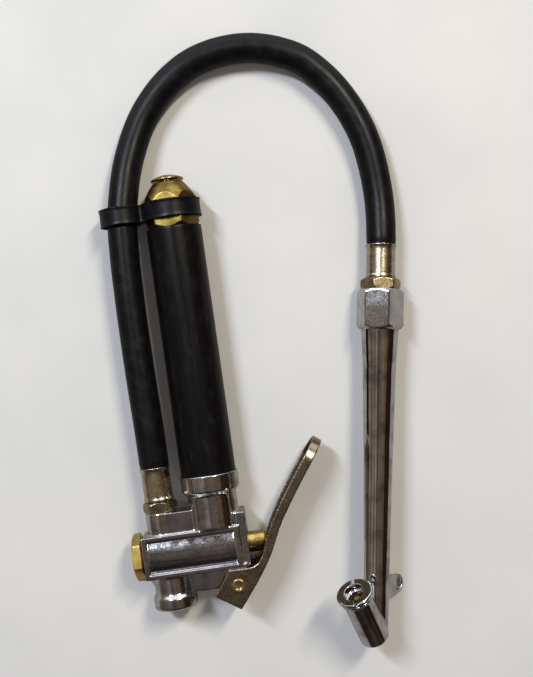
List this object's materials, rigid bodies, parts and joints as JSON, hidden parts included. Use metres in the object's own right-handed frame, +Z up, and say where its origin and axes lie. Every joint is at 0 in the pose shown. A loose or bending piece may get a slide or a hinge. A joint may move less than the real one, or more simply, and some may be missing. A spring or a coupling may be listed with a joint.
{
  "type": "air-line tyre inflator",
  "caption": "Hand-held air-line tyre inflator: linear gauge barrel, lever valve, short rubber hose held by a clip, and a long chuck with two feet and a hanging lug.",
  "frame": {"origin": "centre of the air inlet's mouth", "axes": "+Y along the gauge barrel to its end cap, +X along the plunger to the lever, +Z up from the bench it lies on"},
  "size_m": [0.1633, 0.3303, 0.0477],
  "materials": {
    "chromed_casting": "bright",
    "brass": "satin",
    "nickelled_brass": "satin",
    "nickelled_steel": "bright",
    "plated_tube": "satin",
    "spring_steel": "satin",
    "black_rubber": "satin",
    "hose_rubber": "satin",
    "black_plastic": "satin",
    "fibre": "matt"
  },
  "bodies": {
    "inflator": {"valve_body": "chromed_casting", "inlet_strainer": "brass", "valve_plug": "brass", "plug_washer": "fibre", "valve_spring": "spring_steel", "guide_bush": "brass", "stem_seals": "black_rubber", "pivot_rivet": "nickelled_steel", "gauge_tube": "plated_tube", "tube_sleeve": "black_rubber", "end_cap": "brass", "cap_gasket": "fibre", "gauge_spring": "spring_steel", "hose_clip": "black_plastic", "hose_nipple_valve": "nickelled_brass", "ferrule_valve": "nickelled_steel", "air_hose": "hose_rubber", "ferrule_chuck": "nickelled_steel", "hose_nipple_chuck": "nickelled_brass", "chuck_body": "chromed_casting", "chuck_nut_front": "chromed_casting", "chuck_seal_front": "black_rubber", "chuck_spring_front": "spring_steel", "chuck_nut_rear": "chromed_casting", "chuck_seal_rear": "black_rubber", "chuck_spring_rear": "spring_steel"},
    "lever_arm": {"lever": "nickelled_steel"},
    "plunger_set": {"plunger": "brass", "valve_head": "brass", "valve_seal": "black_rubber"},
    "indicator": {"indicator_bar": "plated_tube", "indicator_button": "brass", "gauge_piston": "brass", "piston_cup": "black_rubber"},
    "front_pin": {"chuck_pin_front": "brass"},
    "rear_pin": {"chuck_pin_rear": "brass"}
  },
  "joints": [
    {"name": "lever_hinge", "type": "hinge", "parent": "inflator", "child": "lever_arm", "pos_m": [0.0346, 0.0091, 0], "axis": [0, 0, 1], "range_deg": [0, 10], "stiffness_Nm_per_rad": 0.6, "springref_deg": -2.86},
    {"name": "plunger_slide", "type": "slide", "parent": "inflator", "child": "plunger_set", "axis": [-1, 0, 0], "range_m": [0, 0.0042], "stiffness_N_per_m": 50, "springref_m": -0.001, "deforming": ["valve_spring"]},
    {"name": "indicator_slide", "type": "slide", "parent": "inflator", "child": "indicator", "axis": [0, 1, 0], "range_m": [0, 0.02], "stiffness_N_per_m": 1200, "springref_m": -0.0005, "deforming": ["gauge_spring"]},
    {"name": "front_pin_slide", "type": "slide", "parent": "inflator", "child": "front_pin", "axis": [0.2488, -0.853, -0.4588], "range_m": [0, 0.002], "stiffness_N_per_m": 900, "springref_m": -0.003, "deforming": ["chuck_spring_front"]},
    {"name": "rear_pin_slide", "type": "slide", "parent": "inflator", "child": "rear_pin", "axis": [-0.2488, 0.853, 0.4588], "range_m": [0, 0.002], "stiffness_N_per_m": 900, "springref_m": -0.003, "deforming": ["chuck_spring_rear"]}
  ],
  "couplings": [
    {"joint": "plunger_slide", "follows": "lever_hinge", "m_per_rad": 0.0235}
  ]
}
